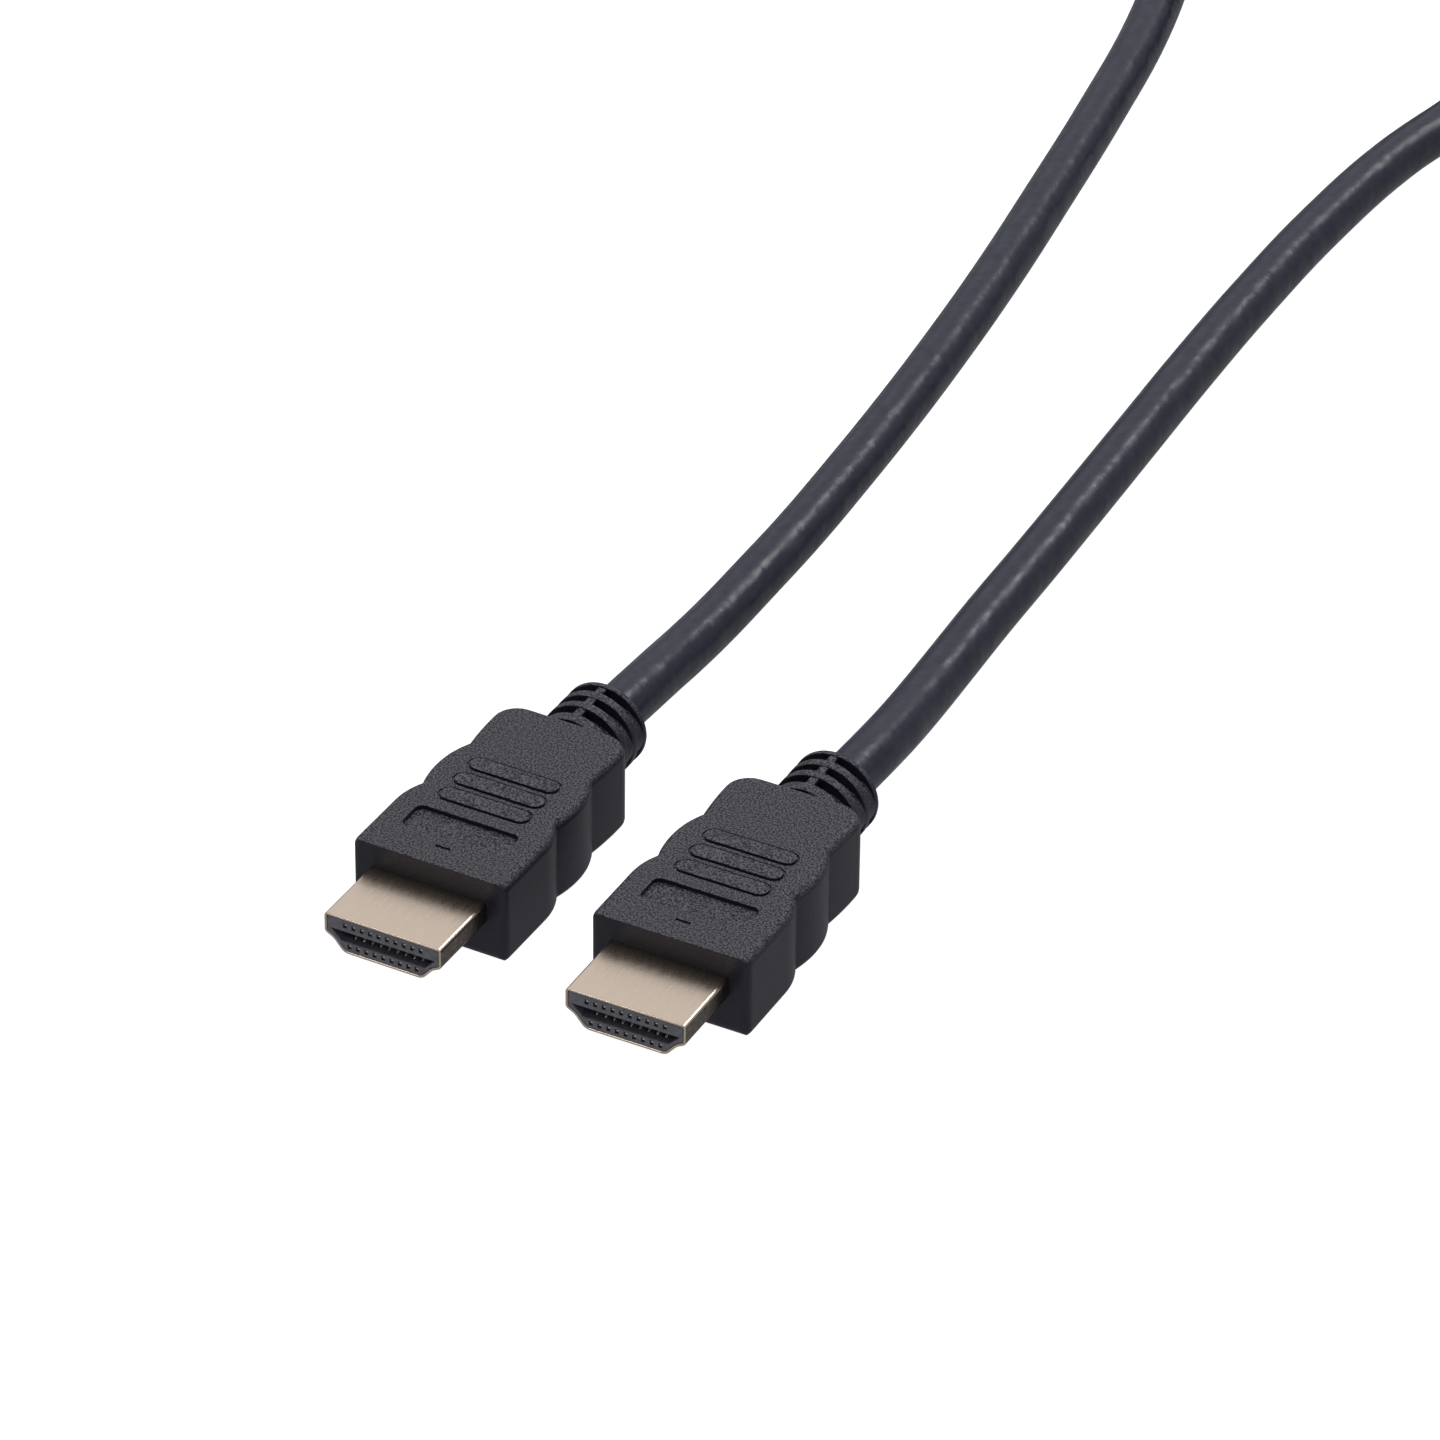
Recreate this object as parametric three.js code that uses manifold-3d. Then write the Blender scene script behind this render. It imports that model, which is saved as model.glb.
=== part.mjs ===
// A 1.5 m video cable: two flat plugs with moulded bodies, joined by a round cord.
// Millimetres, +Z up. The cable lies on a level surface at z = 0. The origin is the middle
// of plug a's underside, and plug a's mouth faces -Y.

import * as THREE from 'three';
import { mergeVertices } from 'three/addons/utils/BufferGeometryUtils.js';
import Module from 'manifold-3d';

const wasm = await Module();
wasm.setup();

// Metal shell of a plug
const shellWidth = 13.9;
const shellHeight = 4.45;
const shellWall = 0.3;
const shellCornerRadius = 0.45;
const shellSideHeight = 2.43;
const shellShoulderDrop = 3.0;
const shellShoulderWidth = 11.8;
const shellBottomWidth = 9.36;
const shellReach = 9.4;
const shellSeatDepth = 8;

// Insulator inside the shell, with the slot that takes the socket's tongue
const insulatorRecess = 0.08;
const slotTopDrop = 1.72;
const slotHeight = 1.3;
const slotTopWidth = 12.5;
const slotBottomWidth = 9.9;
const slotDepth = 7.6;

// Contacts, in two rows at one pitch
const contactPitch = 1;
const upperContactCount = 10;
const lowerContactCount = 9;
const contactWidth = 0.3;
const contactThickness = 0.16;
const contactTipRecess = 0.2;
const contactBulge = 0.3;
const windowWidth = 0.46;
const windowHeight = 0.6;
const upperWindowDrop = 1.02;
const lowerWindowDrop = 3.52;
const windowBarDepth = 0.9;

// Moulded body: half widths at stations along its length make the waved sides
const bodyHeight = 10;
const bodyLength = 29.4;
const bodyEdgeRadius = 1;
const frontCornerRadius = 1.05;
const rearCornerRadius = 2.2;
const nosePartHalfWidth = 9.2;
const nosePartEnd = 8.5;
const frontWaistHalfWidth = 8.15;
const frontWaistAt = 12.6;
const lobeHalfWidth = 8.7;
const lobeAt = 16.3;
const rearWaistHalfWidth = 7.55;
const rearWaistAt = 21.6;
const tailHalfWidth = 7.85;
const tailAt = 26.6;

// Relief on the top face of the body
const ribCount = 3;
const ribPitch = 3.1;
const ribWidth = 10.6;
const ribLength = 2.1;
const ribHeight = 0.2;
const ribCornerRadius = 0.8;
const firstRibAt = 10.75;
const panelWidth = 12.3;
const panelLength = 4.1;
const panelDepth = 0.2;
const panelCornerRadius = 0.6;
const panelAt = 4.65;
const dashWidth = 1.8;
const dashLength = 0.3;
const dashDepth = 0.15;
const dashAt = 2.9;

// Strain relief, moulded on with the body
const reliefLength = 8.3;
const collarLength = 2;
const collarRadius = 4.85;
const reliefSlotCount = 3;
const reliefSlotLength = 1.1;
const reliefSlotPitch = 2.25;
const reliefSlotDepth = 1.3;
const reliefSpineWidth = 1;
const reliefSpineInset = 0.12;

// Cord
const cordDiameter = 5.8;
const cordSides = 10;
const cordStep = 14;
const coilOuterTurn = 40;
const coilInnerTurn = 23.25;
const coilLayers = 2;
const coilCentre = new THREE.Vector2(5, 264.5);
const coilEdgeRadius = 2;

// Clearances between neighbouring pieces
const shellFit = 0.05;
const insulatorFit = 0.05;
const contactFit = 0.06;

// How plug b lies beside plug a: the middle of its body's front face, and its turn
const plugBFront = new THREE.Vector2(28.02, -14);
const plugBTurn = THREE.MathUtils.degToRad(0.747);

// Sizes that follow from the ones above
const axisHeight = bodyHeight / 2;
const shellTop = axisHeight + shellHeight / 2;
const reliefRadius = bodyHeight / 2;
const cordRadius = cordDiameter / 2;

// The cord's route where it isn't coiled, on its centre line, from each plug towards the coil
const routeA = [
  [0, 23.3, 5], [0, 27, 4.9], [-0.1, 31, 4.55], [-0.3, 36, 4], [-0.45, 42, 3.4], [-0.6, 49, 3],
  [-0.8, 58, 2.92], [-1.1, 69, 2.92], [-1.9, 82, 2.92], [-3, 96, 2.92], [-4.4, 110, 2.92],
  [-6.6, 128, 2.92], [-9.6, 148, 2.92], [-13, 169, 2.92], [-17, 190, 2.92], [-22.1, 208.6, 2.92],
  [-26.2, 221.5, 2.92], [-30.3, 234.8, 2.92],
];
const routeB = [
  [27.53, 24, 5], [27.46, 28, 4.85], [27.3, 33, 4.45], [26.9, 39, 3.8], [26.3, 46, 3.2],
  [25.7, 54, 2.94], [25.1, 64, 2.92], [24.6, 76, 2.92], [23.9, 90, 2.92], [23.1, 105, 2.92],
  [22.2, 122, 2.92], [21.6, 140, 2.92], [21.6, 158, 2.92], [22.8, 176, 2.92], [25, 188, 2.95],
  [27.1, 198.1, 3.33], [30.5, 209.5, 4.26], [34.5, 220.3, 5.41], [39, 233.5, 6.89],
];

const bodyPlastic = new THREE.MeshStandardMaterial({ color: 0x1b1b1e, roughness: 0.7, metalness: 0 });
const shellMetal = new THREE.MeshStandardMaterial({ color: 0xcdbfaa, roughness: 0.35, metalness: 1 });
const insulatorPlastic = new THREE.MeshStandardMaterial({ color: 0x26272c, roughness: 0.55, metalness: 0 });
const contactMetal = new THREE.MeshStandardMaterial({ color: 0xe2d3ae, roughness: 0.25, metalness: 1 });
const jacketPlastic = new THREE.MeshStandardMaterial({ color: 0x141417, roughness: 0.4, metalness: 0 });

// Turns a closed geometry into a solid for joining and cutting.
function solid(geometry) {
  const bare = geometry.clone();
  bare.deleteAttribute('normal');
  bare.deleteAttribute('uv');
  const merged = mergeVertices(bare, 1e-4);
  return new wasm.Manifold(new wasm.Mesh({
    numProp: 3,
    vertProperties: Float32Array.from(merged.attributes.position.array),
    triVerts: Uint32Array.from(merged.index.array),
  }));
}

// Turns a solid back into a geometry.
function geometryOf(body) {
  const mesh = body.getMesh();
  const geometry = new THREE.BufferGeometry();
  geometry.setAttribute('position', new THREE.BufferAttribute(mesh.vertProperties, 3));
  geometry.setIndex(new THREE.BufferAttribute(mesh.triVerts, 1));
  geometry.computeVertexNormals();
  return geometry;
}

function boxSolid(width, length, height, x, y, z) {
  return solid(new THREE.BoxGeometry(width, length, height).translate(x, y, z));
}

// Extrudes an outline drawn in X and Z from y = start to y = end.
function extrudeAlongY(outline, start, end, holes = []) {
  const shape = new THREE.Shape(outline);
  shape.holes = holes.map((hole) => new THREE.Path(hole));
  const geometry = new THREE.ExtrudeGeometry(shape, { depth: end - start, bevelEnabled: false });
  return geometry.rotateX(Math.PI / 2).translate(0, end, 0);
}

// A rectangle with round corners in X and Y, extruded upwards.
function roundedPad(width, length, height, radius, y, z) {
  const shape = new THREE.Shape();
  const halfWidth = width / 2;
  const quarter = Math.PI / 2;
  shape.absarc(halfWidth - radius, length - radius, radius, 0, quarter);
  shape.absarc(radius - halfWidth, length - radius, radius, quarter, 2 * quarter);
  shape.absarc(radius - halfWidth, radius, radius, 2 * quarter, 3 * quarter);
  shape.absarc(halfWidth - radius, radius, radius, 3 * quarter, 4 * quarter);
  const geometry = new THREE.ExtrudeGeometry(shape, { depth: height, bevelEnabled: false, curveSegments: 3 });
  return geometry.translate(0, y, z);
}

// The shell's outer outline in X and Z, moved inwards by an inset all round.
function shellOutline(inset) {
  const half = shellWidth / 2;
  const sharp = [
    [shellBottomWidth / 2, shellTop - shellHeight],
    [shellShoulderWidth / 2, shellTop - shellShoulderDrop],
    [half, shellTop - shellSideHeight],
  ];
  const corner = [0, 1, 2, 3].map((step) => {
    const angle = (step / 3) * (Math.PI / 2);
    return [
      half - shellCornerRadius + shellCornerRadius * Math.cos(angle),
      shellTop - shellCornerRadius + shellCornerRadius * Math.sin(angle),
    ];
  });
  const right = [...sharp, ...corner].map(([x, z]) => new THREE.Vector2(x, z));
  const left = right.map((point) => new THREE.Vector2(-point.x, point.y)).reverse();
  return insetOutline([...right, ...left], inset);
}

// Moves each side of an anticlockwise outline inwards by a distance.
function insetOutline(points, distance) {
  const count = points.length;
  return points.map((point, i) => {
    const before = point.clone().sub(points[(i + count - 1) % count]).normalize();
    const after = points[(i + 1) % count].clone().sub(point).normalize();
    const inward = new THREE.Vector2(-before.y - after.y, before.x + after.x).normalize();
    const lean = inward.x * -before.y + inward.y * before.x;
    return point.clone().addScaledVector(inward, distance / lean);
  });
}

function makeShell() {
  const outer = shellOutline(0);
  const inner = shellOutline(shellWall).reverse();
  return extrudeAlongY(outer, -shellReach, shellSeatDepth, [inner]);
}

// Positions across the plug of one row of contacts.
function rowPositions(count) {
  return Array.from({ length: count }, (_, i) => (i - (count - 1) / 2) * contactPitch);
}

const slotTop = shellTop - slotTopDrop;
const slotBottom = slotTop - slotHeight;
const mouth = -shellReach + insulatorRecess;
const rows = [
  { count: upperContactCount, windowAt: shellTop - upperWindowDrop, slotSide: slotTop, down: 1 },
  { count: lowerContactCount, windowAt: shellTop - lowerWindowDrop, slotSide: slotBottom, down: -1 },
];

function makeInsulator() {
  let body = solid(extrudeAlongY(shellOutline(shellWall + insulatorFit), mouth, shellSeatDepth));
  const slot = [
    new THREE.Vector2(slotBottomWidth / 2, slotBottom),
    new THREE.Vector2(slotTopWidth / 2, slotTop),
    new THREE.Vector2(-slotTopWidth / 2, slotTop),
    new THREE.Vector2(-slotBottomWidth / 2, slotBottom),
  ];
  body = body.subtract(solid(extrudeAlongY(slot, mouth - 1, mouth + slotDepth)));
  for (const row of rows) {
    const outerSide = row.windowAt + (row.down * windowHeight) / 2;
    const channelHeight = Math.abs(outerSide - row.slotSide) + slotHeight / 4;
    const channelAt = outerSide - (row.down * channelHeight) / 2;
    const channelLength = slotDepth - windowBarDepth;
    for (const x of rowPositions(row.count)) {
      const windowCut = boxSolid(
        windowWidth, slotDepth + 1, windowHeight, x, mouth + (slotDepth - 1) / 2, row.windowAt);
      const channel = boxSolid(
        windowWidth, channelLength, channelHeight, x, mouth + windowBarDepth + channelLength / 2, channelAt);
      body = body.subtract(windowCut).subtract(channel);
    }
  }
  return geometryOf(body);
}

// One bent spring contact, drawn from the side and extruded across its width.
function makeContact(row, x) {
  const lift = row.windowAt;
  const touch = row.slotSide - row.down * contactBulge;
  const tip = mouth + contactTipRecess;
  const bend = mouth + windowBarDepth + contactFit;
  const back = mouth + slotDepth - contactFit;
  const centreLine = [
    [tip, lift],
    [bend + 0.15, lift],
    [bend + 1.1, touch],
    [bend + 1.7, touch],
    [bend + 3.4, lift],
    [back, lift],
  ];
  const half = contactThickness / 2;
  const above = centreLine.map(([y, z]) => new THREE.Vector2(y, z + half));
  const below = centreLine.map(([y, z]) => new THREE.Vector2(y, z - half)).reverse();
  const geometry = new THREE.ExtrudeGeometry(new THREE.Shape([...above, ...below]), {
    depth: contactWidth,
    bevelEnabled: false,
  });
  const turn = new THREE.Matrix4().set(0, 0, 1, 0, 1, 0, 0, 0, 0, 1, 0, 0, 0, 0, 0, 1);
  return geometry.applyMatrix4(turn).translate(x - contactWidth / 2, 0, 0);
}

// Half width of the body at a station, eased from one named station to the next.
function bodyHalfWidth(y) {
  const stations = [
    [0, nosePartHalfWidth],
    [nosePartEnd, nosePartHalfWidth],
    [frontWaistAt, frontWaistHalfWidth],
    [lobeAt, lobeHalfWidth],
    [rearWaistAt, rearWaistHalfWidth],
    [tailAt, tailHalfWidth],
    [bodyLength, tailHalfWidth],
  ];
  const next = Math.max(1, stations.findIndex(([at]) => at >= y));
  const [startAt, startWidth] = stations[next - 1];
  const [endAt, endWidth] = stations[next];
  const share = THREE.MathUtils.smoothstep(y, startAt, endAt);
  return THREE.MathUtils.lerp(startWidth, endWidth, share);
}

function bodyOutline() {
  const right = [];
  const arcSteps = 3;
  for (let i = 0; i <= arcSteps; i += 1) {
    const angle = -Math.PI / 2 + (i / arcSteps) * (Math.PI / 2);
    right.push(new THREE.Vector2(
      nosePartHalfWidth - frontCornerRadius + frontCornerRadius * Math.cos(angle),
      frontCornerRadius + frontCornerRadius * Math.sin(angle)));
  }
  const waveSteps = 14;
  const rearArcStart = bodyLength - rearCornerRadius;
  for (let i = 0; i < waveSteps; i += 1) {
    const y = THREE.MathUtils.lerp(nosePartEnd, rearArcStart, i / waveSteps);
    right.push(new THREE.Vector2(bodyHalfWidth(y), y));
  }
  for (let i = 0; i <= arcSteps; i += 1) {
    const angle = (i / arcSteps) * (Math.PI / 2);
    right.push(new THREE.Vector2(
      tailHalfWidth - rearCornerRadius + rearCornerRadius * Math.cos(angle),
      rearArcStart + rearCornerRadius * Math.sin(angle)));
  }
  const left = right.map((point) => new THREE.Vector2(-point.x, point.y)).reverse();
  return new THREE.Shape([...right, ...left]);
}

// A round bar along the plug's axis, from y = start to y = end, its height scaled where asked.
function roundBar(radius, start, end, heightScale = 1) {
  const bar = new THREE.CylinderGeometry(radius, radius, end - start, 28);
  return solid(bar.scale(1, 1, heightScale).translate(0, (start + end) / 2, axisHeight));
}

function makeStrainRelief() {
  const end = bodyLength + reliefLength;
  const root = bodyLength - rearCornerRadius;
  const coreScale = (reliefRadius - reliefSlotDepth) / reliefRadius;
  let relief = roundBar(reliefRadius - 0.02, root, end - 0.02, coreScale);
  relief = relief.add(roundBar(collarRadius, root, bodyLength + collarLength));
  for (let i = 1; i <= reliefSlotCount; i += 1) {
    const ringStart = bodyLength + collarLength + (i - 1) * reliefSlotPitch + reliefSlotLength;
    const ringEnd = i === reliefSlotCount ? end : ringStart + reliefSlotPitch - reliefSlotLength;
    relief = relief.add(roundBar(reliefRadius, ringStart, ringEnd));
  }
  const spineHeight = 2 * (reliefRadius - reliefSpineInset);
  return relief.add(boxSolid(reliefSpineWidth, reliefLength - 0.4, spineHeight,
    0, bodyLength + reliefLength / 2 - 0.2, axisHeight));
}

function makeBody() {
  const block = new THREE.ExtrudeGeometry(bodyOutline(), {
    depth: bodyHeight - 2 * bodyEdgeRadius,
    bevelThickness: bodyEdgeRadius,
    bevelSize: bodyEdgeRadius,
    bevelOffset: -bodyEdgeRadius,
    bevelSegments: 3,
  });
  let body = solid(block.translate(0, 0, bodyEdgeRadius)).add(makeStrainRelief());
  for (let i = 0; i < ribCount; i += 1) {
    const at = firstRibAt + i * ribPitch;
    const rib = roundedPad(ribWidth, ribLength, 2 * ribHeight, ribCornerRadius, at, bodyHeight - ribHeight);
    body = body.add(solid(rib));
  }
  const panel = roundedPad(panelWidth, panelLength, 1, panelCornerRadius, panelAt, bodyHeight - panelDepth);
  body = body.subtract(solid(panel));
  body = body.subtract(boxSolid(dashWidth, dashLength, 2 * dashDepth, 0, dashAt, bodyHeight));
  const seat = extrudeAlongY(shellOutline(-shellFit), -1, shellSeatDepth + shellFit);
  return geometryOf(body.subtract(solid(seat)));
}

function named(name, geometry, material) {
  const mesh = new THREE.Mesh(geometry, material.clone());
  mesh.name = name;
  return mesh;
}

function makePlug(letter) {
  const plug = new THREE.Group();
  plug.add(named(`body_${letter}`, makeBody(), bodyPlastic));
  plug.add(named(`shell_${letter}`, makeShell(), shellMetal));
  plug.add(named(`insulator_${letter}`, makeInsulator(), insulatorPlastic));
  let number = 0;
  for (const row of rows) {
    for (const x of rowPositions(row.count)) {
      number += 1;
      const label = String(number).padStart(2, '0');
      plug.add(named(`contact_${letter}_${label}`, makeContact(row, x), contactMetal));
    }
  }
  return plug;
}

// A plain tube of the cord's diameter along a list of points.
function makeCordRun(points) {
  const bends = points.map(([x, y, z]) => new THREE.Vector3(x, y, z));
  const path = new THREE.CatmullRomCurve3(bends, false, 'centripetal');
  const section = new THREE.Shape(Array.from({ length: cordSides }, (_, i) => {
    const angle = (i / cordSides) * 2 * Math.PI;
    return new THREE.Vector2(cordRadius * Math.cos(angle), cordRadius * Math.sin(angle));
  }));
  const steps = Math.round(path.getLength() / cordStep);
  return new THREE.ExtrudeGeometry(section, { steps, extrudePath: path, bevelEnabled: false });
}

// The outer form of the coil: one ring as wide and as high as its turns.
function makeCoil() {
  const height = coilLayers * cordDiameter;
  const inner = coilInnerTurn - cordRadius;
  const outer = coilOuterTurn + cordRadius;
  const edge = coilEdgeRadius;
  const profile = [
    [inner + edge, 0], [outer - edge, 0], [outer, edge], [outer, height - edge],
    [outer - edge, height], [inner + edge, height], [inner, height - edge], [inner, edge], [inner + edge, 0],
  ].map(([r, z]) => new THREE.Vector2(r, z));
  return new THREE.LatheGeometry(profile, 40).rotateX(Math.PI / 2);
}

const cable = new THREE.Group();

const plugA = makePlug('a');
plugA.position.y = -bodyLength / 2;
cable.add(plugA);

const plugB = makePlug('b');
plugB.position.set(plugBFront.x, plugBFront.y, 0);
plugB.rotation.z = plugBTurn;
cable.add(plugB);

const coil = named('cord_coil', makeCoil(), jacketPlastic);
coil.position.set(coilCentre.x, coilCentre.y, 0);
cable.add(coil);
cable.add(named('cord_run_a', makeCordRun(routeA), jacketPlastic));
cable.add(named('cord_run_b', makeCordRun(routeB), jacketPlastic));

export default cable;
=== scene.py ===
# Video cable: two moulded plugs side by side and one round cord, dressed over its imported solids.
# Metres, +Z up. Plug a stands over the origin with its mouth facing -Y.
import math

import bmesh
import bpy
from mathutils import Matrix, Vector


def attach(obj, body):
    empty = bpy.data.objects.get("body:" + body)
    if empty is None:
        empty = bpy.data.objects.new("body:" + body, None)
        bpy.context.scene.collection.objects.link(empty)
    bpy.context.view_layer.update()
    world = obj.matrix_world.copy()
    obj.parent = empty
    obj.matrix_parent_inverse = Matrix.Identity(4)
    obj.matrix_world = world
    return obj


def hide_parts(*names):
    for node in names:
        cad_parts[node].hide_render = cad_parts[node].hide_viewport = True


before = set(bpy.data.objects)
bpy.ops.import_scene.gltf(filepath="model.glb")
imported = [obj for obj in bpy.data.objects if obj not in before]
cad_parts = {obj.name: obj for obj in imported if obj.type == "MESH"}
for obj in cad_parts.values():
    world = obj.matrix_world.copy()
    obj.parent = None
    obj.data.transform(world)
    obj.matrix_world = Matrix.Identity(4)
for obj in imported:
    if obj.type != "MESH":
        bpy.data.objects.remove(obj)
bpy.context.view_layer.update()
print("frame loaded:", len(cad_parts), "solids")


# Camera, at the photograph's angle
cameraValues = {
    "place": (0.34268, -0.58995, 0.48628),
    "azimuth": 28.214,
    "elevation": 34.404,
    "roll": 0.569,
    "lens": 198.876,
    "sensor": 36.0,
}


def makeCamera(values):
    data = bpy.data.cameras.new("camera")
    data.lens = values["lens"]
    data.sensor_width = values["sensor"]
    data.clip_start = 0.01
    camera = bpy.data.objects.new("camera", data)
    bpy.context.scene.collection.objects.link(camera)
    turn = Matrix.Rotation(math.radians(values["azimuth"]), 4, "Z")
    tilt = Matrix.Rotation(math.radians(90 - values["elevation"]), 4, "X")
    roll = Matrix.Rotation(math.radians(values["roll"]), 4, "Z")
    camera.matrix_world = Matrix.Translation(values["place"]) @ turn @ tilt @ roll
    bpy.context.scene.camera = camera


makeCamera(cameraValues)
print("camera placed")


# Small helpers shared by every piece
def newMaterial(name):
    material = bpy.data.materials.new(name)
    material.use_nodes = True
    tree = material.node_tree
    coords = tree.nodes.new("ShaderNodeTexCoord")
    return material, tree, tree.nodes["Principled BSDF"], coords.outputs["Object"]


def addNoise(tree, coords, scale, detail=2.0, roughness=0.5, stretch=(1, 1, 1)):
    mapping = tree.nodes.new("ShaderNodeMapping")
    mapping.inputs["Scale"].default_value = stretch
    noise = tree.nodes.new("ShaderNodeTexNoise")
    noise.inputs["Scale"].default_value = scale
    noise.inputs["Detail"].default_value = detail
    noise.inputs["Roughness"].default_value = roughness
    tree.links.new(coords, mapping.inputs["Vector"])
    tree.links.new(mapping.outputs["Vector"], noise.inputs["Vector"])
    return noise.outputs["Fac"]


def addRamp(tree, factor, stops):
    ramp = tree.nodes.new("ShaderNodeValToRGB")
    marks = ramp.color_ramp.elements
    while len(marks) < len(stops):
        marks.new(0.5)
    for mark, (position, colour) in zip(marks, stops):
        mark.position = position
        mark.color = (*colour, 1)
    tree.links.new(factor, ramp.inputs["Fac"])
    return ramp.outputs["Color"]


def addRange(tree, factor, fromLow, fromHigh, toLow, toHigh):
    spread = tree.nodes.new("ShaderNodeMapRange")
    spread.inputs["From Min"].default_value = fromLow
    spread.inputs["From Max"].default_value = fromHigh
    spread.inputs["To Min"].default_value = toLow
    spread.inputs["To Max"].default_value = toHigh
    tree.links.new(factor, spread.inputs["Value"])
    return spread.outputs["Result"]


def addMix(tree, factor, first, second):
    mix = tree.nodes.new("ShaderNodeMix")
    mix.data_type = "RGBA"
    tree.links.new(factor, mix.inputs[0])
    tree.links.new(first, mix.inputs[6])
    tree.links.new(second, mix.inputs[7])
    return mix.outputs[2]


def facing(tree, axis, low, high):
    # 1 where the surface faces along the axis, either way, and 0 where it runs along it
    split = tree.nodes.new("ShaderNodeSeparateXYZ")
    size = tree.nodes.new("ShaderNodeMath")
    size.operation = "ABSOLUTE"
    tree.links.new(tree.nodes["Texture Coordinate"].outputs["Normal"], split.inputs["Vector"])
    tree.links.new(split.outputs[axis], size.inputs[0])
    return addRange(tree, size.outputs[0], low, high, 0, 1)


def addBump(tree, shader, height, strength, distance, below=None):
    bump = tree.nodes.new("ShaderNodeBump")
    bump.inputs["Strength"].default_value = strength
    bump.inputs["Distance"].default_value = distance
    tree.links.new(height, bump.inputs["Height"])
    if below is not None:
        tree.links.new(below, bump.inputs["Normal"])
    tree.links.new(bump.outputs["Normal"], shader.inputs["Normal"])
    return bump.outputs["Normal"]


def makeTemporary(shape):
    mesh = bpy.data.meshes.new("tool")
    shape.to_mesh(mesh)
    shape.free()
    tool = bpy.data.objects.new("tool", mesh)
    bpy.context.scene.collection.objects.link(tool)
    return tool


def combine(base, tool, operation):
    # base and tool are bmesh shapes, and the result is a new one
    keep = makeTemporary(base)
    other = makeTemporary(tool)
    step = keep.modifiers.new("combine", "BOOLEAN")
    step.operation = operation
    step.solver = "EXACT"
    step.object = other
    settled = keep.evaluated_get(bpy.context.evaluated_depsgraph_get())
    result = bmesh.new()
    result.from_mesh(settled.data)
    for used in (keep, other):
        mesh = used.data
        bpy.data.objects.remove(used)
        bpy.data.meshes.remove(mesh)
    return result


def newPiece(name, shape, place, material, sharpAngle=32):
    shape.transform(place)
    bmesh.ops.remove_doubles(shape, verts=shape.verts, dist=1e-7)
    bmesh.ops.recalc_face_normals(shape, faces=shape.faces)
    mesh = bpy.data.meshes.new(name)
    shape.to_mesh(mesh)
    shape.free()
    mesh.shade_smooth()
    mesh.set_sharp_from_angle(angle=math.radians(sharpAngle))
    piece = bpy.data.objects.new(name, mesh)
    bpy.context.scene.collection.objects.link(piece)
    mesh.materials.append(material)
    weighted = piece.modifiers.new("weighted normals", "WEIGHTED_NORMAL")
    weighted.keep_sharp = True
    weighted.weight = 80
    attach(piece, "root")
    return piece


# Cord: one length from plug a, round the coil and back to plug b
cordValues = {
    "diameter": 0.0058,
    "length": 1.5,
    "exit": (0, 0.0230, 0.0050),
    "coilCentre": (0.005, 0.2645),
    "outerTurn": 0.040,
    "turnPitch": 0.0067,
    "turnsIn": 2.5,
    "climbTurns": 0.5,
    "restHeight": 0.00292,
    "pointsPerTurn": 24,
}

routeA = [
    (0, 0.0229, 0.005), (0, 0.027, 0.0049), (-0.0001, 0.031, 0.00455), (-0.0003, 0.036, 0.004),
    (-0.00045, 0.042, 0.0034), (-0.0006, 0.049, 0.003), (-0.0008, 0.058, 0.00292),
    (-0.0011, 0.069, 0.00292), (-0.0019, 0.082, 0.00292), (-0.003, 0.096, 0.00292),
    (-0.0044, 0.110, 0.00292), (-0.0066, 0.128, 0.00292), (-0.0096, 0.148, 0.00292),
    (-0.013, 0.169, 0.00292), (-0.017, 0.190, 0.00292), (-0.0221, 0.2086, 0.00292),
    (-0.0262, 0.2215, 0.00292), (-0.0303, 0.2348, 0.00292), (-0.03376, 0.2495, 0.00292),
]
routeB = [
    (0.02754, 0.0236, 0.005), (0.02746, 0.028, 0.00485), (0.0273, 0.033, 0.00445),
    (0.0269, 0.039, 0.0038), (0.0263, 0.046, 0.0032), (0.0257, 0.054, 0.00294),
    (0.0251, 0.064, 0.00292), (0.0246, 0.076, 0.00292), (0.0239, 0.090, 0.00292),
    (0.0231, 0.105, 0.00292), (0.0222, 0.122, 0.00292), (0.0216, 0.140, 0.00292),
    (0.0216, 0.158, 0.00292), (0.0228, 0.176, 0.00292), (0.025, 0.188, 0.00295),
    (0.0271, 0.1981, 0.00333), (0.0305, 0.2095, 0.00426), (0.0345, 0.2203, 0.00541),
    (0.039, 0.2335, 0.00689), (0.0432, 0.2488, 0.0083),
]


def coilPoints(values):
    # inwards on the surface, up at the inner turn, and outwards again on top
    centreX, centreY = values["coilCentre"]
    turnsIn, climb = values["turnsIn"], values["climbTurns"]
    innerTurn = values["outerTurn"] - values["turnPitch"] * turnsIn
    points = []
    for step in range(round((2 * turnsIn + climb) * values["pointsPerTurn"]) + 1):
        turned = step / values["pointsPerTurn"]
        angle = math.pi - 2 * math.pi * turned
        inward = min(turned, turnsIn, 2 * turnsIn + climb - turned)
        radius = values["outerTurn"] - values["turnPitch"] * inward
        risen = min(max((turned - turnsIn) / climb, 0), 1)
        height = values["restHeight"] + values["diameter"] * risen
        points.append((centreX + radius * math.cos(angle), centreY + radius * math.sin(angle), height))
    print("coil: inner turn", round(innerTurn, 4))
    return points


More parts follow.
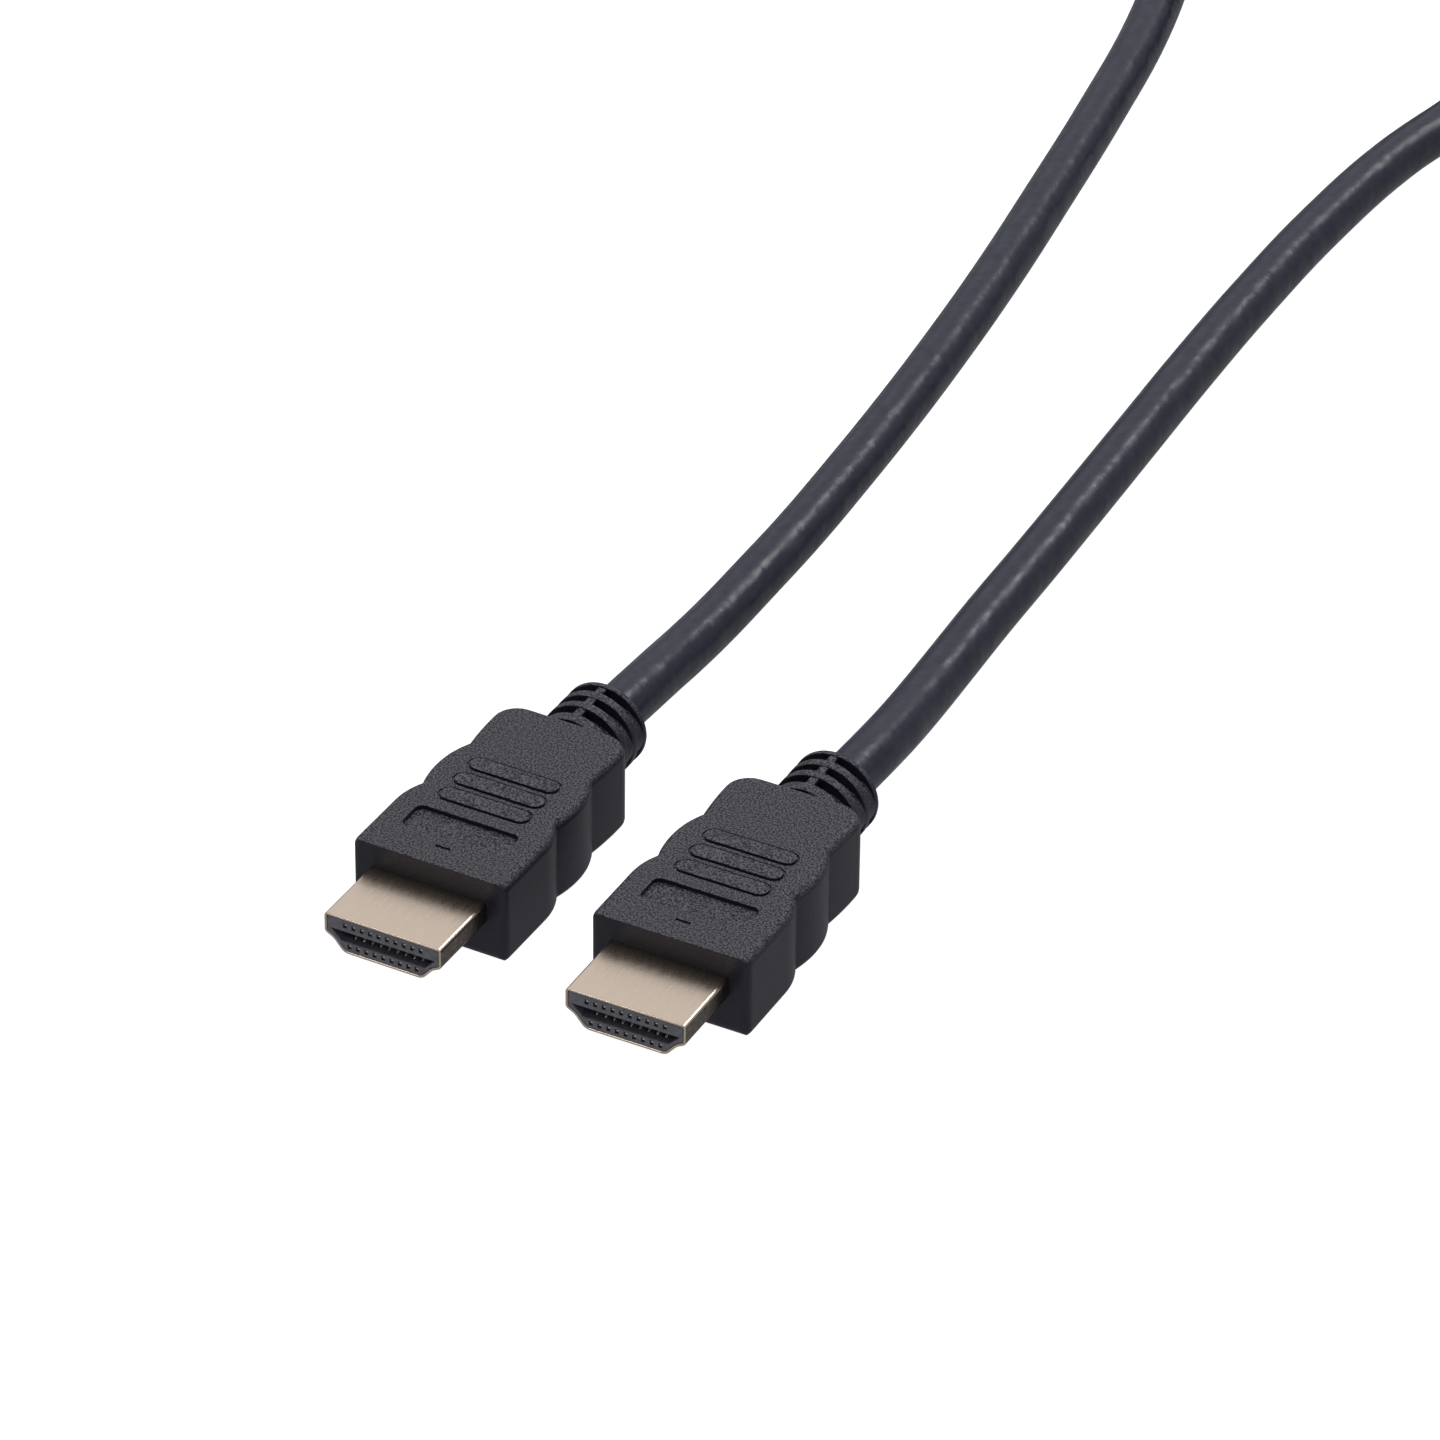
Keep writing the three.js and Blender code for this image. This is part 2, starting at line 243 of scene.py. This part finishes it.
def makeCordMaterial():
    material, tree, shader, coords = newMaterial("cord vinyl")
    shade = addNoise(tree, coords, 900, 3)
    colour = addRamp(tree, shade, [(0.3, (0.0055, 0.0063, 0.0115)), (0.7, (0.0095, 0.0108, 0.0185))])
    tree.links.new(colour, shader.inputs["Base Color"])
    shine = addRange(tree, addNoise(tree, coords, 420, 3), 0.3, 0.7, 0.26, 0.38)
    tree.links.new(shine, shader.inputs["Roughness"])
    wave = addNoise(tree, coords, 190, 2)
    low = addBump(tree, shader, wave, 0.6, 0.0006)
    addBump(tree, shader, addNoise(tree, coords, 2600, 2), 0.25, 0.00006, low)
    return material


def makeCord(values):
    points = routeA + coilPoints(values) + routeB[::-1]
    line = bpy.data.curves.new("cord", "CURVE")
    line.dimensions = "3D"
    line.resolution_u = 6
    line.bevel_depth = values["diameter"] / 2
    line.bevel_resolution = 6
    line.use_fill_caps = True
    spline = line.splines.new("BEZIER")
    spline.bezier_points.add(len(points) - 1)
    for knot, point in zip(spline.bezier_points, points):
        knot.co = point
        knot.handle_left_type = "AUTO"
        knot.handle_right_type = "AUTO"
    line.materials.append(makeCordMaterial())
    cord = bpy.data.objects.new("cord", line)
    bpy.context.scene.collection.objects.link(cord)
    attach(cord, "root")
    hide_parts("cord_run_a", "cord_coil", "cord_run_b")


makeCord(cordValues)
print("cord laid")


# Where the two plugs lie: the middle of the front face of each moulded body, and its turn
plugPlaces = {
    "a": Matrix.Translation((0, -0.0147, 0)),
    "b": Matrix.Translation((0.02802, -0.014, 0)) @ Matrix.Rotation(math.radians(0.747), 4, "Z"),
}


# Moulded body, in the plug's own frame: y = 0 at its front face, z = 0 on the table
bodyValues = {
    "length": 0.0294,
    "height": 0.010,
    "edgeRadius": 0.001,
    "frontRim": 0.0001,
    "rearRim": 0.00005,
    "toeRadius": 0.0013,
    "waveCuts": 11,
    "frontCuts": (0.2, 0.36, 0.58, 1),
    "rearCutAngles": (0, 13, 26, 39, 52, 64, 75),
    "toeCuts": (0.06, 0.2, 0.42, 0.68, 1),
    "fallPower": 2.2,
    "risePower": 2,
    "overshoot": 0.001,
    "frontCornerRadius": 0.00095,
    "rearCornerRadius": 0.0022,
    "stations": [
        (0, 0.0092), (0.0085, 0.0092), (0.0126, 0.00815), (0.0163, 0.0087),
        (0.0213, 0.0075), (0.0266, 0.00785), (0.0294, 0.00785),
    ],
    "panel": {"width": 0.0123, "length": 0.0041, "depth": 0.0005, "radius": 0.0009, "at": 0.00465},
    "dash": {"width": 0.0018, "length": 0.00036, "depth": 0.00025, "at": 0.0029},
    "rib": {"width": 0.0106, "length": 0.0021, "height": 0.00014, "radius": 0.00102,
            "first": 0.01075, "pitch": 0.0031, "count": 3, "rut": 0.00026, "rutDepth": 0.0002,
            "root": 0.0004, "rim": 0.00008},
}

reliefValues = {
    "length": 0.0083,
    "radius": 0.005,
    "collarGap": 0.00055,
    "collarLength": 0.002,
    "collarRadius": 0.00485,
    "slotLength": 0.0011,
    "slotPitch": 0.00225,
    "slotCount": 3,
    "slotDepth": 0.0013,
    "spineWidth": 0.001,
    "spineInset": 0.00012,
    "spineShort": 0.0004,
    "coreInset": 0.00002,
    "rim": 0.00012,
}


def halfWidthAt(y, values):
    # falls ever faster into each waist and leaves it steeply, so that the waists are creases
    stations = values["stations"]
    for (startY, startWidth), (endY, endWidth) in zip(stations, stations[1:]):
        if y <= endY:
            share = max(0, (y - startY) / (endY - startY))
            if endWidth < startWidth:
                eased = share ** values["fallPower"]
            else:
                eased = 1 - (1 - share) ** values["risePower"]
            return startWidth + (endWidth - startWidth) * eased
    return stations[-1][1]


def makePad(width, length, radius, front, bottom, top, rim=0.0):
    # a round-cornered slab, with its top edge softened by rim
    shape = bmesh.new()
    size = Matrix.Diagonal((width, length, top - bottom, 1))
    middle = Matrix.Translation((0, front + length / 2, (bottom + top) / 2))
    bmesh.ops.create_cube(shape, size=1, matrix=middle @ size)
    upright = [e for e in shape.edges if abs(e.verts[0].co.z - e.verts[1].co.z) > 1e-6]
    if radius > 0:
        bmesh.ops.bevel(shape, geom=upright, offset=radius, offset_type="OFFSET", segments=6,
                        profile=0.5, affect="EDGES", material=-1)
    if rim > 0:
        upper = [e for e in shape.edges if all(v.co.z > top - 1e-7 for v in e.verts)]
        bmesh.ops.bevel(shape, geom=upper, offset=rim, offset_type="OFFSET", segments=2,
                        profile=0.5, affect="EDGES", material=-1)
    return shape


def makeBar(radius, start, end, axisHeight, rim=0.0, flatness=1.0):
    # a round bar along the plug's axis
    shape = bmesh.new()
    lie = Matrix.Rotation(math.radians(90), 4, "X")
    squeeze = Matrix.Diagonal((1, 1, flatness, 1))
    middle = Matrix.Translation((0, (start + end) / 2, axisHeight))
    bmesh.ops.create_cone(shape, cap_ends=True, segments=72, radius1=radius, radius2=radius,
                          depth=end - start, matrix=middle @ squeeze @ lie)
    if rim > 0:
        round_ = [e for e in shape.edges if abs(e.verts[0].co.y - e.verts[1].co.y) < 1e-7]
        bmesh.ops.bevel(shape, geom=round_, offset=rim, offset_type="OFFSET", segments=3,
                        profile=0.5, affect="EDGES", material=-1)
    return shape


def planHalfWidth(y, values):
    # the waved side, drawn in round both corners
    half = halfWidthAt(y, values)
    front, rear = values["frontCornerRadius"], values["rearCornerRadius"]
    if y < front:
        half -= front - math.sqrt(max(0, front ** 2 - (front - y) ** 2))
    past = y - (values["length"] - rear)
    if past > 0:
        half -= rear - math.sqrt(max(0, rear ** 2 - past ** 2))
    return half


def cutAcross(shape, point, direction):
    everything = shape.verts[:] + shape.edges[:] + shape.faces[:]
    bmesh.ops.bisect_plane(shape, geom=everything, dist=1e-7, plane_co=point, plane_no=direction)


def makeBlock(values):
    # a round-edged bar, cut across many times, whose sides are then drawn in to the waved plan,
    # and whose lower front edge is rounded to the toe
    shape = bmesh.new()
    length, height = values["length"], values["height"]
    noseHalf = values["stations"][0][1]
    rear = values["rearCornerRadius"]
    middle = Matrix.Translation((0, length / 2, height / 2))
    size = Matrix.Diagonal((2 * noseHalf, length, height, 1))
    bmesh.ops.create_cube(shape, size=1, matrix=middle @ size)
    lengthways = [e for e in shape.edges if abs(e.verts[0].co.y - e.verts[1].co.y) > 1e-6]
    bmesh.ops.bevel(shape, geom=lengthways, offset=values["edgeRadius"], offset_type="OFFSET",
                    segments=8, profile=0.5, affect="EDGES", material=-1)
    waveEnd = length - rear
    marks = [y for y, half in values["stations"][1:-1]] + [waveEnd]
    steps = values["waveCuts"]
    cuts = [values["frontCornerRadius"] * share for share in values["frontCuts"]]
    for start, stop in zip(marks, marks[1:]):
        cuts += [start + (stop - start) * step / steps for step in range(steps)]
    cuts += [waveEnd + rear * math.sin(math.radians(angle)) for angle in values["rearCutAngles"]]
    for cut in cuts:
        cutAcross(shape, (0, cut, 0), (0, 1, 0))
    toe = values["toeRadius"]
    for share in values["toeCuts"]:
        cutAcross(shape, (0, 0, toe * share), (0, 0, 1))
    flatHalf = noseHalf - values["edgeRadius"]
    for vert in shape.verts:
        if abs(vert.co.x) > flatHalf - 1e-6:
            drawnIn = noseHalf - planHalfWidth(vert.co.y, values)
            vert.co.x -= math.copysign(drawnIn, vert.co.x)
        if vert.co.z < toe:
            rounded = toe - math.sqrt(toe ** 2 - (toe - vert.co.z) ** 2)
            vert.co.y = max(vert.co.y, rounded)
    bmesh.ops.remove_doubles(shape, verts=shape.verts, dist=2e-7)
    for y, rim in ((0, values["frontRim"]), (length, values["rearRim"])):
        edge = [e for e in shape.edges if all(abs(v.co.y - y) < 1e-7 for v in e.verts)]
        # only the edges where the end face turns into a side
        edge = [e for e in edge if len({round(f.normal.y) for f in e.link_faces}) > 1]
        bmesh.ops.bevel(shape, geom=edge, offset=rim, offset_type="OFFSET", segments=3,
                        profile=0.5, affect="EDGES", material=-1)
    return shape


def makeBody(values, relief):
    height, length = values["height"], values["length"]
    axis = height / 2
    shape = makeBlock(values)
    root = length - values["rearCornerRadius"]
    collarStart = length + relief["collarGap"]
    end = length + relief["length"]
    flatness = 1 - relief["slotDepth"] / relief["radius"]
    collarEnd = length + relief["collarLength"]
    inset = relief["coreInset"]
    core = makeBar(relief["radius"] - inset, root, end - inset, axis, 0, flatness)
    shape = combine(shape, core, "UNION")
    collar = makeBar(relief["collarRadius"], collarStart, collarEnd, axis, relief["rim"])
    shape = combine(shape, collar, "UNION")
    for number in range(relief["slotCount"]):
        start = collarEnd + number * relief["slotPitch"] + relief["slotLength"]
        last = number == relief["slotCount"] - 1
        stop = end if last else start + relief["slotPitch"] - relief["slotLength"]
        ring = makeBar(relief["radius"], start, stop, axis, relief["rim"])
        shape = combine(shape, ring, "UNION")
    reach = relief["radius"] - relief["spineInset"]
    spine = makePad(relief["spineWidth"], end - collarStart - relief["spineShort"], 0, collarStart,
                    axis - reach, axis + reach, relief["rim"])
    shape = combine(shape, spine, "UNION")
    rib = values["rib"]
    above = height + values["overshoot"]
    rut = rib["rut"]
    for number in range(rib["count"]):
        front = rib["first"] + number * rib["pitch"]
        trench = makePad(rib["width"] + 2 * rut, rib["length"] + 2 * rut, rib["radius"] + rut,
                         front - rut, height - rib["rutDepth"], above)
        shape = combine(shape, trench, "DIFFERENCE")
        pad = makePad(rib["width"], rib["length"], rib["radius"], front, height - rib["root"],
                      height + rib["height"], rib["rim"])
        shape = combine(shape, pad, "UNION")
    panel, dash = values["panel"], values["dash"]
    hollow = makePad(panel["width"], panel["length"], panel["radius"], panel["at"],
                     height - panel["depth"], above)
    shape = combine(shape, hollow, "DIFFERENCE")
    groove = makePad(dash["width"], dash["length"], 0, dash["at"], height - dash["depth"], above)
    return combine(shape, groove, "DIFFERENCE")


def makeBodyMaterial():
    # grain in colour and bump on top and underneath, nearly plain on the sides; the lighter grain
    # colour on top and underneath is painted light, and the darker, bluish plain colour of the sides is
    # painted shade
    material, tree, shader, coords = newMaterial("black plastic with painted lit top")
    shader.inputs["Specular IOR Level"].default_value = 0.4
    # mask of faces turned up or down: it carries the painted light and shade of the colour below
    paintedLitTopMask = facing(tree, "Z", 0.3, 0.85)
    fine = addNoise(tree, coords, 4500, 2, 0.65)
    paintedLitGrain = addRamp(tree, fine, [(0.43, (0.0006, 0.0006, 0.001)), (0.57, (0.062, 0.058, 0.065))])
    cloud = addNoise(tree, coords, 1500, 2)
    plainPaintedShade = addRamp(tree, cloud, [(0.3, (0.006, 0.0054, 0.0105)), (0.7, (0.009, 0.008, 0.015))])
    # painted light: lighter grain colour where the faces turn up or down, darker bluish colour as
    # painted shade on the sides
    tree.links.new(addMix(tree, paintedLitTopMask, plainPaintedShade, paintedLitGrain), shader.inputs["Base Color"])
    tree.links.new(addRange(tree, paintedLitTopMask, 0, 1, 0.4, 0.52), shader.inputs["Roughness"])
    depth = tree.nodes.new("ShaderNodeMath")
    depth.operation = "MULTIPLY"
    tree.links.new(fine, depth.inputs[0])
    tree.links.new(addRange(tree, paintedLitTopMask, 0, 1, 0.14, 1), depth.inputs[1])
    addBump(tree, shader, depth.outputs[0], 1.0, 0.00016)
    return material


bodyMaterial = makeBodyMaterial()
for letter, place in plugPlaces.items():
    shape = makeBody(bodyValues, reliefValues)
    body = newPiece("moulding_" + letter, shape, place, bodyMaterial)
    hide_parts("body_" + letter)
print("moulded bodies made")


# Metal shell of a plug, a thin folded tube with a rolled mouth
shellValues = {
    "width": 0.0139,
    "height": 0.00445,
    "wall": 0.0003,
    "topRadius": 0.00045,
    "sideHeight": 0.00243,
    "shoulderDrop": 0.0030,
    "shoulderHalf": 0.0059,
    "bottomHalf": 0.00468,
    "shoulderRadius": 0.0003,
    "bottomRadius": 0.0005,
    "reach": 0.0094,
    "seat": 0.008,
    "top": 0.007225,
    "mouthRim": 0.00013,
}


def makeShell(values):
    top, reach = values["top"], values["reach"]
    shape = bmesh.new()
    plan = [
        (0, top), (values["width"] / 2, top), (values["width"] / 2, top - values["sideHeight"]),
        (values["shoulderHalf"], top - values["shoulderDrop"]),
        (values["bottomHalf"], top - values["height"]), (0, top - values["height"]),
    ]
    points = [shape.verts.new((x, -reach, z)) for x, z in plan]
    for pair in zip(points, points[1:]):
        shape.edges.new(pair)
    bmesh.ops.mirror(shape, geom=shape.verts[:] + shape.edges[:], axis="X", merge_dist=1e-6)
    bmesh.ops.edgeloop_fill(shape, edges=shape.edges)
    corners = [
        (values["topRadius"], top), (values["shoulderRadius"], plan[2][1]),
        (values["shoulderRadius"], plan[3][1]), (values["bottomRadius"], plan[4][1]),
    ]
    for radius, z in corners:
        bends = [v for v in shape.verts if abs(v.co.z - z) < 1e-6 and abs(v.co.x) > 0.003]
        bmesh.ops.bevel(shape, geom=bends, offset=radius, offset_type="OFFSET", segments=5,
                        profile=0.5, affect="VERTICES", material=-1)
    drawn = bmesh.ops.extrude_face_region(shape, geom=shape.faces[:])
    back = [item for item in drawn["geom"] if isinstance(item, bmesh.types.BMVert)]
    bmesh.ops.translate(shape, verts=back, vec=(0, reach + values["seat"], 0))
    bmesh.ops.recalc_face_normals(shape, faces=shape.faces)
    mouth = min(shape.faces, key=lambda face: face.calc_center_median().y)
    bmesh.ops.inset_region(shape, faces=[mouth], thickness=values["wall"], use_even_offset=True)
    depth = values["wall"] - reach - values["seat"]
    bmesh.ops.inset_region(shape, faces=[mouth], thickness=0, depth=depth)
    rims = [e for e in shape.edges if all(abs(v.co.y + reach) < 1e-7 for v in e.verts)]
    rims = [e for e in rims if any(abs(f.normal.y) < 0.5 for f in e.link_faces)]
    bmesh.ops.bevel(shape, geom=rims, offset=values["mouthRim"], offset_type="OFFSET", segments=3,
                    profile=0.5, affect="EDGES", material=-1)
    return shape


def makeShellMaterial(name, frontY):
    # darker in a ragged band near the body, a painted reflection of the dark body; and a dark, speckled
    # colour on the narrow sides, painted shade for the dark surroundings they mirror, with light specks
    # for scratches
    material, tree, shader, coords = newMaterial(name)
    shader.inputs["Metallic"].default_value = 1.0
    split = tree.nodes.new("ShaderNodeSeparateXYZ")
    tree.links.new(coords, split.inputs["Vector"])
    ragged = addNoise(tree, coords, 5200, 3, 0.7)
    # painted reflection: the metal darkens in a ragged band towards the body, standing for the dark
    # body mirrored in it
    edge = tree.nodes.new("ShaderNodeMath")
    edge.operation = "MULTIPLY_ADD"
    edge.inputs[1].default_value = 0.0007
    tree.links.new(ragged, edge.inputs[0])
    tree.links.new(split.outputs["Y"], edge.inputs[2])
    paintedBodyReflection = addRange(tree, edge.outputs[0], frontY - 0.0022, frontY + 0.0003, 0, 1)
    metalWithPaintedReflection = addRamp(tree, paintedBodyReflection, [
        (0, (0.84, 0.685, 0.52)), (0.5, (0.56, 0.45, 0.34)), (1, (0.22, 0.18, 0.14)),
    ])
    # painted shade on the narrow sides: dark brown for the dark surroundings they mirror, with light
    # specks for scratches
    specks = addNoise(tree, coords, 3600, 3, 0.7, (1, 0.4, 1))
    paintedSideShadeAndScratches = addRamp(tree, specks, [
        (0.35, (0.10, 0.08, 0.065)), (0.6, (0.19, 0.16, 0.13)), (0.72, (0.6, 0.52, 0.44)),
    ])
    colour = addMix(tree, facing(tree, "X", 0.8, 0.97), metalWithPaintedReflection, paintedSideShadeAndScratches)
    tree.links.new(colour, shader.inputs["Base Color"])
    shine = addRange(tree, addNoise(tree, coords, 2600, 3, 0.6, (1, 0.2, 1)), 0.3, 0.7, 0.24, 0.34)
    tree.links.new(shine, shader.inputs["Roughness"])
    addBump(tree, shader, addNoise(tree, coords, 5200, 2, 0.5), 0.06, 0.00002)
    return material


shellFronts = {"a": -0.0147, "b": -0.014}
for letter, place in plugPlaces.items():
    metal = makeShellMaterial("champagne metal " + letter, shellFronts[letter])
    shell = newPiece("tube_" + letter, makeShell(shellValues), place, metal)
    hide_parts("shell_" + letter)
print("metal shells made")


# Insulators and contacts keep their solids and get their finishes here
def makeInsulatorMaterial():
    material, tree, shader, coords = newMaterial("insulator plastic")
    shade = addNoise(tree, coords, 1800, 3)
    colour = addRamp(tree, shade, [(0.3, (0.055, 0.054, 0.063)), (0.7, (0.085, 0.083, 0.097))])
    tree.links.new(colour, shader.inputs["Base Color"])
    tree.links.new(addRange(tree, shade, 0.3, 0.7, 0.4, 0.52), shader.inputs["Roughness"])
    addBump(tree, shader, addNoise(tree, coords, 5200, 2), 0.15, 0.00003)
    return material


def makeContactMaterial():
    material, tree, shader, coords = newMaterial("gold plating")
    shader.inputs["Metallic"].default_value = 1.0
    shade = addNoise(tree, coords, 2200, 2)
    colour = addRamp(tree, shade, [(0.3, (0.80, 0.70, 0.50)), (0.7, (0.92, 0.84, 0.66))])
    tree.links.new(colour, shader.inputs["Base Color"])
    tree.links.new(addRange(tree, shade, 0.3, 0.7, 0.16, 0.28), shader.inputs["Roughness"])
    return material


insulatorMaterial = makeInsulatorMaterial()
contactMaterial = makeContactMaterial()
for name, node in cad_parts.items():
    if name.startswith(("insulator", "contact")):
        finish = insulatorMaterial if name.startswith("insulator") else contactMaterial
        node.data.materials.clear()
        node.data.materials.append(finish)
print("insulators and contacts finished")


# Floor, light and sky
stageValues = {
    "floorSize": 6.0,
    "floorColour": (0.16, 0.165, 0.17),
    "floorGlow": 1.0,
    "glossGlow": 0.13,
    "glossDepth": -0.001,
    "skyColour": (0.80, 0.84, 1.0),
    "skyAbove": 0.42,
    "skyBelow": 0.16,
    "backPower": 4.0,
    "backPlace": (-0.66, 1.23, 1.05),
    "backSize": (2.4, 1.5),
    "keyPower": 5.4,
    "keyPlace": (0.42, 1.1, 1.15),
    "keySize": (0.5, 0.5),
    "frontPower": 1.4,
    "frontPlace": (-0.45, -0.66, 0.86),
    "frontSize": (0.35, 0.35),
    "topPower": 27.5,
    "topPlace": (-0.1, 0.15, 1.5),
    "topSize": (1.0, 1.0),
}


def makeFloor(name, values, glow, height):
    shape = bmesh.new()
    place = Matrix.Translation((0, 0, height))
    bmesh.ops.create_grid(shape, x_segments=1, y_segments=1, size=values["floorSize"] / 2, matrix=place)
    mesh = bpy.data.meshes.new(name)
    shape.to_mesh(mesh)
    shape.free()
    floor = bpy.data.objects.new(name, mesh)
    bpy.context.scene.collection.objects.link(floor)
    material, tree, shader, coords = newMaterial("pale " + name)
    low = values["floorColour"]
    high = tuple(min(1, part + 0.02) for part in low)
    colour = addRamp(tree, addNoise(tree, coords, 3), [(0.3, low), (0.7, high)])
    tree.links.new(colour, shader.inputs["Base Color"])
    shader.inputs["Roughness"].default_value = 0.9
    shader.inputs["Emission Color"].default_value = (0.98, 0.99, 1, 1)
    shader.inputs["Emission Strength"].default_value = glow
    mesh.materials.append(material)
    return floor


def makeLamp(name, power, place, size):
    data = bpy.data.lights.new(name, "AREA")
    data.energy = power
    data.shape = "RECTANGLE"
    data.size, data.size_y = size
    lamp = bpy.data.objects.new(name, data)
    bpy.context.scene.collection.objects.link(lamp)
    lamp.location = place
    lamp.rotation_euler = (Vector((0, 0.02, 0)) - Vector(place)).to_track_quat("-Z", "Y").to_euler()
    return lamp


def makeSky(values):
    # dim below the horizon, so that sides and undersides stay dark
    world = bpy.data.worlds.new("studio")
    world.use_nodes = True
    tree = world.node_tree
    coords = tree.nodes.new("ShaderNodeTexCoord")
    split = tree.nodes.new("ShaderNodeSeparateXYZ")
    tree.links.new(coords.outputs["Generated"], split.inputs["Vector"])
    strength = addRange(tree, split.outputs["Z"], -0.15, 0.25, values["skyBelow"], values["skyAbove"])
    tree.nodes["Background"].inputs["Color"].default_value = (*values["skyColour"], 1)
    tree.links.new(strength, tree.nodes["Background"].inputs["Strength"])
    bpy.context.scene.world = world
    bpy.context.scene.view_settings.view_transform = "Standard"


floor = makeFloor("floor", stageValues, stageValues["floorGlow"], 0)
floor.visible_glossy = False  # gloss mirrors a dimmer floor, so that the black sides stay dark
glossFloor = makeFloor("gloss_floor", stageValues, stageValues["glossGlow"], stageValues["glossDepth"])
glossFloor.visible_camera = False
glossFloor.visible_diffuse = False
makeLamp("back", stageValues["backPower"], stageValues["backPlace"], stageValues["backSize"])
makeLamp("key", stageValues["keyPower"], stageValues["keyPlace"], stageValues["keySize"])
makeLamp("front", stageValues["frontPower"], stageValues["frontPlace"], stageValues["frontSize"])
topLamp = makeLamp("top", stageValues["topPower"], stageValues["topPlace"], stageValues["topSize"])
topLamp.visible_glossy = False  # so that the metal isn't burnt out when it is seen from above
makeSky(stageValues)
print("stage set")
